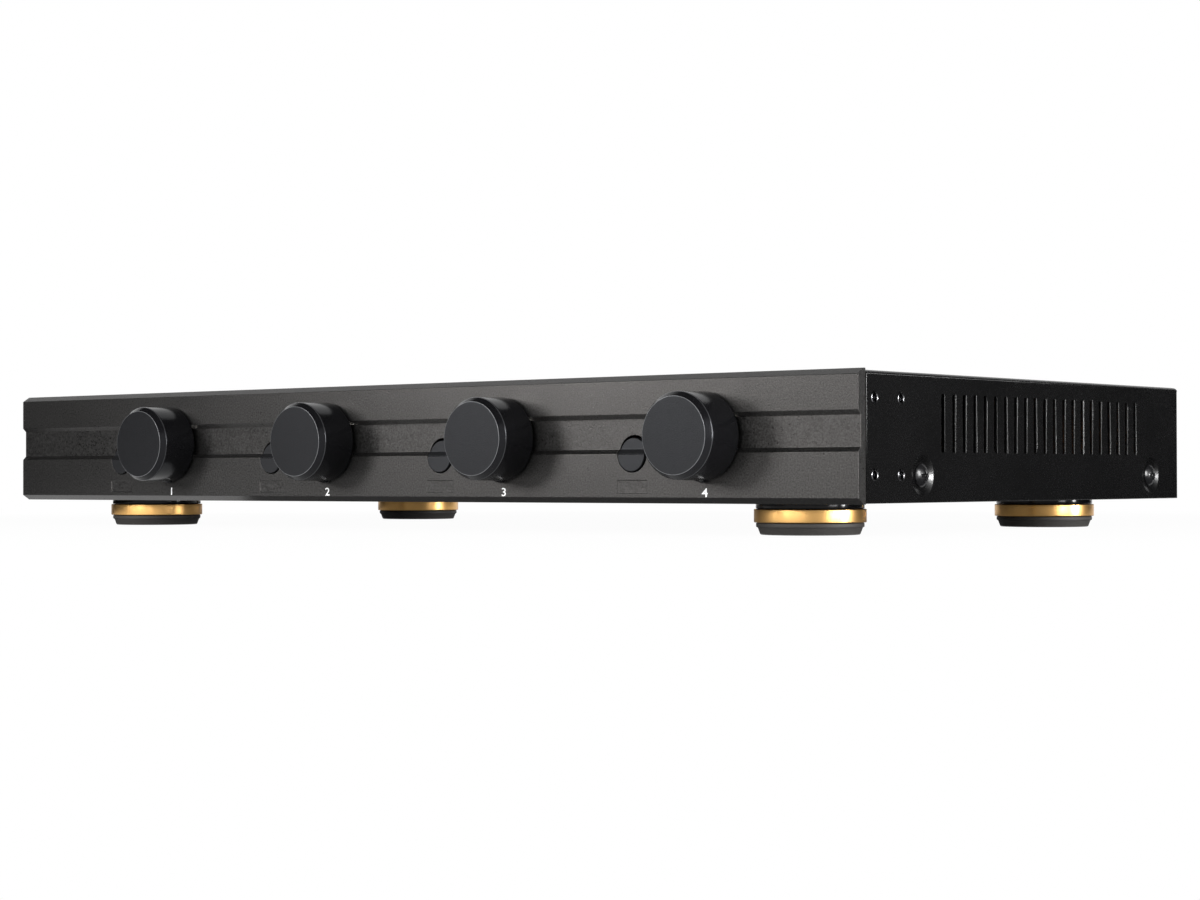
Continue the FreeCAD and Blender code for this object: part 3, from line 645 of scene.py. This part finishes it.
def numberMesh(name, text, x, z):
    # point = (x, front of the panel, z) + (letter's point - its middle) * height / its height,
    # with the letter's own thickness drawn out to that of the ink
    curve = bpy.data.curves.new(name, "FONT")
    curve.body = text
    curve.extrude = panel["inkThickness"]
    curve.offset = panel["numberBold"]
    holder = newObject(name, curve)
    bpy.context.view_layer.update()
    depsgraph = bpy.context.evaluated_depsgraph_get()
    mesh = bpy.data.meshes.new_from_object(holder.evaluated_get(depsgraph))
    mesh.name = name
    bpy.data.objects.remove(holder)
    points = pointsOf(mesh)
    low, high = points.min(0), points.max(0)
    flat = (points - (low + high) / 2) * panel["numberHeight"] / (high[1] - low[1])
    lift = (points[:, 2] - low[2]) / (high[2] - low[2]) * panel["inkThickness"]
    placed = [x + flat[:, 0] * panel["numberWide"], panelLow[1] - lift, z + flat[:, 1]]
    mesh.vertices.foreach_set("co", (np.stack(placed, -1) * mm).ravel())
    mesh.update()
    return mesh


for room in rooms:
    name = "number_%d" % room
    mesh = numberMesh(name, str(room), knobX[room], panelLow[2] + panel["numberUp"])
    addPiece(name, mesh, "case", "white_ink",
             sharp=panel["numberCrease"])
print("panel and numbers")


# Volume knobs: turned bodies with a rounded rim, a bevel, a soft shoulder and a small
# half-cone pointer.
knob = {
    "faceRadius": 13.2,
    "bevelLength": 2.2,
    "shoulderRadius": 14.9,
    "rimRound": 0.2,
    "rimPaintedGlint": 0.14,            # how much light metal colour is painted on the rim, as a highlight line
    "shoulderPaintedGlint": 0.03,       # and on the shoulder, on a few of its arc's rows, as a painted glint
    "shoulderRows": (2, 5),
    "shoulderRound": 1.4,
    "backRound": 0.35,
    "boreRadius": 3.05,
    "boreFlat": 2.35,
    "boreDepth": 11.0,
    "lugLength": 5.0,
    "lugHalfWidth": 1.6,
    "lugTip": 0.25,
    "lugSpread": 0.24,          # half angle of the dense part of the grid, radians
    "lugColumns": 33,
    "roundColumns": 121,
    "lugRows": 10,
    "skirt": 1.0,               # rows this close to the full radius carry the pointer
    "arcSteps": 8,
    "paintedGlintEdge": 0.04,           # width in which the rim's painted highlight ends
    "polishedFrom": 0.03,       # behind the face
    "same": 0.003,              # a point this close to a row of the profile is on it
}


def knobMesh(name, low, high, x):
    # radius(row) from the profile, plus the pointer: rise * sqrt(1 - (arc / half width) squared),
    # both growing from its front to the back; the bore's radius is cut off at its flat:
    # min(bore, flat / sin angle)
    front, back = low[1], high[1]
    outer = (high[0] - low[0]) / 2
    z = high[2] - outer
    boreEnd = back - knob["boreDepth"]
    profile = roundedProfile(
        [(0, front), (knob["faceRadius"], front),
         (knob["shoulderRadius"], front + knob["bevelLength"]), (outer, back),
         (knob["boreRadius"], back), (knob["boreRadius"], boreEnd), (0, boreEnd)],
        [0, knob["rimRound"], knob["shoulderRound"], knob["backRound"], 0, 0, 0],
        knob["arcSteps"])
    # one row more on either side of the rim's arc, so that its painted highlight ends there
    arcRows = knob["arcSteps"] + 1
    rimEnd = 1 + arcRows
    inner = profile[1] - (knob["paintedGlintEdge"], 0)
    outward = profile[rimEnd] - profile[rimEnd - 1]
    below = profile[rimEnd - 1] + outward / np.linalg.norm(outward) * knob["paintedGlintEdge"]
    profile = np.concatenate([profile[:1], [inner], profile[1:rimEnd], [below], profile[rimEnd:]])
    rim = slice(2, 2 + arcRows)
    shoulder = slice(*(rim.stop + 1 + row for row in knob["shoulderRows"]))
    # more rows along the skirt, so that the pointer has points to lift
    radius, level = profile[:, 0], profile[:, 1]
    lugFront = back - knob["lugLength"]
    cut = int(np.argmax(level > lugFront))
    steps = np.linspace(lugFront, level[cut], knob["lugRows"])[:-1]
    slope = (radius[cut] - radius[cut - 1]) / (level[cut] - level[cut - 1])
    added = radius[cut - 1] + slope * (steps - level[cut - 1])
    radius = np.concatenate([radius[:cut], added, radius[cut:]])[:, None]
    level = np.concatenate([level[:cut], steps, level[cut:]])[:, None]
    spread = knob["lugSpread"]
    away = np.concatenate([np.linspace(-spread, spread, knob["lugColumns"]),
                           np.linspace(spread, fullTurn - spread, knob["roundColumns"])[1:-1]])
    angles = away - math.pi / 2
    grown = np.clip((level - lugFront) / knob["lugLength"], 0, 1)
    halfWidth = knob["lugTip"] + (knob["lugHalfWidth"] - knob["lugTip"]) * grown
    arc = np.minimum(away, fullTurn - away) * outer
    height = z - outer - low[2]
    rise = height * grown * np.sqrt(np.clip(1 - (arc / halfWidth) ** 2, 0, 1))
    lifted = np.where(radius > outer - knob["skirt"], radius + rise, radius)
    flat = knob["boreFlat"] / np.maximum(np.sin(angles), 0.01)
    bore = (radius > 0) & (radius < knob["boreRadius"] + knob["same"])
    lifted = np.where(bore, np.minimum(lifted, flat), lifted)
    mesh = joinGrids(name, [(turnedGrid(lifted, level, angles, "y", (x, z)), False)])
    # the painted glint marks the rounded rim and a part of the shoulder with a lighter, partly
    # metallic colour, a painted highlight line; polished marks both and what is behind the face
    points = pointsOf(mesh)
    places = np.stack([np.hypot(points[:, 0] - x, points[:, 2] - z), points[:, 1]], -1)

    def on(rows):
        return np.abs(places[:, None] - profile[rows]).max(-1).min(-1) < knob["same"]

    paintedGlint = on(rim) * knob["rimPaintedGlint"] + on(shoulder) * knob["shoulderPaintedGlint"]
    polished = (paintedGlint > 0) | (places[:, 1] > front + knob["polishedFrom"])
    for label, mark in (("paintedGlint", paintedGlint), ("polished", polished)):
        values = mesh.attributes.new(label, "FLOAT", "POINT")
        values.data.foreach_set("value", mark.astype(np.float32))
    return mesh


for room, (low, high) in knobBoxes.items():
    name = "volume_knob_%d" % room
    mesh = knobMesh(name, low, high, knobX[room])
    addPiece(name, mesh, "volume_%d" % room, "knob_black", ("knob_%d" % room,))
print("knobs")


# Buttons: the stepped caps with softened edges.
button = {"edge": 0.28}
for room in rooms:
    name = "button_%d" % room
    softenedCopy("button_cap_%d" % room, name, name, "button_grey", button["edge"])
print("buttons")


# Cover: its rims, vents, rack holes and the mouths of the dishes round the screws are rounded.
cover = {
    "edge": 1.1,
    "segments": 4,
    "crease": 16,               # degrees, less than a dish's edges
    "dishShare": 0.25,          # of the edge, at the mouth of each dish
    "dishRadius": 6.9,
    "dishBand": 0.2,
    "holeShare": 0.2,
    "holeRadius": 2.0,
    "holeBand": 0.1,
    "ventShare": 0.42,
    "ventRun": 5,               # an upright edge longer than this is a vent's
    "rimShare": 0.25,
    "rackY": (-101.2, -85.2),
    "rackZ": (20.48, 45.78),
}
coverLow, coverHigh = boxOf("top_cover")
rackHoles = [(y, z) for y in cover["rackY"] for z in cover["rackZ"]]
screwPoints = pointsOf(nodes["cover_screws"].data)
screwPlaces = []                # side, y, z and how far out its head reaches
for side in (-1, 1):
    for end in (-1, 1):
        mine = screwPoints[(screwPoints[:, 0] * side > 0) & (screwPoints[:, 1] * end > 0)]
        middle = (mine.min(0) + mine.max(0)) / 2
        screwPlaces.append((side, middle[1], middle[2], np.abs(mine[:, 0]).max()))


def coverEdges(middles, runs):
    def nearest(places):
        return np.min([np.hypot(middles[:, 1] - y, middles[:, 2] - z) for y, z in places], axis=0)

    hair = making["hair"]
    outside = np.abs(np.abs(middles[:, 0]) - coverHigh[0]) < hair
    toScrew = nearest([place[1:3] for place in screwPlaces])
    dish = outside & (np.abs(toScrew - cover["dishRadius"]) < cover["dishBand"])
    hole = outside & (nearest(rackHoles) < cover["holeRadius"] + cover["holeBand"])
    top = middles[:, 2] > coverHigh[2] - hair
    front = (np.abs(middles[:, 1] - coverLow[1]) < hair) & (outside | top)
    foot = outside & (middles[:, 2] < coverLow[2] + hair)
    vent = outside & (np.abs(runs[:, 2]) > cover["ventRun"])
    shares = [cover["dishShare"], cover["holeShare"], cover["rimShare"], cover["ventShare"]]
    return np.select([dish, hole, front | foot, vent], shares, 0.0)


softenedCopy("top_cover", "cover", "case", "black_paint", cover["edge"], coverEdges,
             cover["segments"], cover["crease"])
print("cover")


# Screws: domed heads with a recess for the driver, crossed or a single slot.
screwShape = {"rows": 25, "columns": 64, "slotSlope": 0.3}      # slope as a share of its width


def screwGrid(head, axis, seat, sign, centre):
    # height above the seat = the dome's arc at this radius less the recess; then down the rim
    # and the shank
    rows = np.linspace(0, head["radius"], screwShape["rows"])[:, None]
    angles = roundAngles(screwShape["columns"])
    rise = head["height"] - head["rim"]
    ball = (head["radius"] ** 2 + rise ** 2) / (2 * rise)
    dome = head["height"] - ball + np.sqrt(ball ** 2 - rows ** 2)
    u = np.abs(rows * np.cos(angles))
    v = np.abs(rows * np.sin(angles))
    slope = head["slotWidth"] * screwShape["slotSlope"]

    def arm(across, along):
        return (np.clip((head["slotWidth"] / 2 - across) / slope + 0.5, 0, 1)
                * np.clip((head["slotLength"] / 2 - along) / slope + 0.5, 0, 1))

    recess = np.maximum(arm(u, v), arm(v, u)) if head["crossed"] else arm(u, v)
    level = dome - head["slotDepth"] * recess
    tail = np.array([(head["radius"], 0), (head["shank"], 0), (head["shank"], -head["length"]),
                     (0, -head["length"])])
    radius = np.concatenate([np.broadcast_to(rows, level.shape),
                             np.repeat(tail[:, :1], len(angles), 1)])
    level = np.concatenate([level, np.repeat(tail[:, 1:], len(angles), 1)])
    return turnedGrid(radius, seat + sign * level, angles, axis, centre), False


coverScrew = {"radius": 4.0, "height": 2.2, "rim": 0.5, "slotWidth": 0.9, "slotLength": 4.2,
              "slotDepth": 1.2, "crossed": True, "shank": 1.75, "length": 6.0}
grids = [screwGrid(coverScrew, "x", side * (outer - coverScrew["height"]), side, (y, z))
         for side, y, z, outer in screwPlaces]
addPiece("case_screws", joinGrids("case_screws", grids), "case", "black_screw",
         ("cover_screws",))
print("cover screws")


# Rack holes: a threaded insert in each, with a half-round lip and closed at its inner end.
insert = {
    "mouth": 1.95,              # outer edge of the lip
    "lipBack": 0.1,             # its seat behind the outside of the sheet
    "lipSteps": 8,
    "bore": 1.45,
    "thread": 0.14,
    "pitch": 0.7,
    "depth": 4.6,
    "rows": 60,
    "columns": 48,
    "drill": (0.3, 0.5),        # past the thread: the hole's end at its wall and at its middle
    "wall": 0.9,                # behind the thread
    "outer": 3.1,
    "sheet": 1.0,               # thickness of the cover, with the insert's flange behind it
    "gap": 0.02,
}


def insertGrid(side, y, z):
    # the bore's radius follows a screw thread: bore + thread * |saw(level / pitch - angle /
    # full turn)|; the lip is half a circle between the bore and the mouth
    angles = roundAngles(insert["columns"])
    level = np.linspace(0, insert["depth"], insert["rows"])[:, None]
    turn = level / insert["pitch"] - angles / fullTurn
    saw = np.abs(2 * (turn - np.floor(turn + 0.5)))
    radius = insert["bore"] + insert["thread"] * saw
    lip = (insert["mouth"] - insert["bore"]) / 2
    turned = np.linspace(0, math.pi, insert["lipSteps"] + 1)
    lead = np.stack([insert["bore"] + lip + lip * np.cos(turned),
                     insert["lipBack"] - insert["sheet"] - lip * np.sin(turned)], -1)
    lead = np.concatenate([[(insert["mouth"], 0)], lead])
    drillWall, drillMiddle = (insert["depth"] + past for past in insert["drill"])
    end = insert["depth"] + insert["wall"]
    tail = np.array([(insert["bore"], drillWall), (0, drillMiddle), (0, end),
                     (insert["outer"], end), (insert["outer"], 0)])
    lead, tail = (np.repeat(part[:, None], len(angles), 1) for part in (lead, tail))
    radius = np.concatenate([lead[..., 0], radius, tail[..., 0]])
    level = np.concatenate([lead[..., 1], np.broadcast_to(level, saw.shape), tail[..., 1]])
    flange = side * (coverHigh[0] - insert["sheet"] - insert["gap"])
    return turnedGrid(radius, flange - side * level, angles, "x", (y, z)), True


grids = [insertGrid(side, y, z) for side in (-1, 1) for y, z in rackHoles]
addPiece("rack_inserts", joinGrids("rack_inserts", grids), "case", "dark_steel")
print("rack inserts")


# Feet: glossy flange, turned gold ring with fine chamfers, rubber pad.
foot = {
    "flangeEdge": 0.3,
    "padEdge": 0.3,
    "ringRadius": 19.45,
    "ringChamfer": 0.35,
    "ringRound": 0.1,
    "arcSteps": 3,
    "columns": 160,
    "stemHalf": 5.05,
}
ringLow, ringHigh = boxOf("foot_rings")
footX = ringHigh[0] - foot["ringRadius"]
footY = (ringLow[1] + foot["ringRadius"], ringHigh[1] - foot["ringRadius"])


def ringGrid(x, y):
    # a closed profile turned about the foot's axis; the inner wall is square:
    # half width / max(|cos|, |sin|)
    angles = roundAngles(foot["columns"])
    outer, chamfer = foot["ringRadius"], foot["ringChamfer"]
    low, high = ringLow[2], ringHigh[2]
    profile = roundedProfile(
        [(outer - chamfer, low), (outer, low + chamfer), (outer, high - chamfer),
         (outer - chamfer, high)], [foot["ringRound"]] * 4, foot["arcSteps"])
    square = foot["stemHalf"] / np.maximum(np.abs(np.cos(angles)), np.abs(np.sin(angles)))
    radius = np.concatenate([np.repeat(profile[:, :1], len(angles), 1), [square, square]])
    level = np.concatenate([profile[:, 1:], [[high], [low]]])
    return turnedGrid(radius, level, angles, "z", (x, y)), True


softenedCopy("foot_housings", "foot_flanges", "case", "foot_plastic", foot["flangeEdge"])
grids = [ringGrid(x, y) for x in (-footX, footX) for y in footY]
addPiece("foot_gold_rings", joinGrids("foot_gold_rings", grids), "case", "gold",
         ("foot_rings",))
softenedCopy("foot_pads", "foot_rubber_pads", "case", "rubber", foot["padEdge"])
print("feet")


# Plugs at the back: softened blocks, each with a slotted clamp screw above every wire entry.
plug = {"edge": 0.35, "poles": 4, "polePitch": 5.08, "screwBack": 5.0, "screwSink": 0.02}
clampScrew = {"radius": 1.75, "height": 0.45, "rim": 0.25, "slotWidth": 0.5, "slotLength": 3.0,
              "slotDepth": 0.35, "crossed": False, "shank": 1.2, "length": 3.0}
poles = (np.arange(plug["poles"]) - (plug["poles"] - 1) / 2) * plug["polePitch"]
for name in ["input_plug"] + ["output_plug_%d" % room for room in rooms]:
    low, high = boxOf(name)
    body = name + "_body"
    softenedCopy(name, name + "_block", body, "terminal_plastic", plug["edge"])
    seat, back = high[2] - plug["screwSink"], high[1] - plug["screwBack"]
    middle = (low[0] + high[0]) / 2
    grids = [screwGrid(clampScrew, "z", seat, 1, (x, back)) for x in middle + poles]
    addPiece(name + "_screws", joinGrids(name + "_screws", grids), body, "nickel")
print("plugs")

low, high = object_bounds()
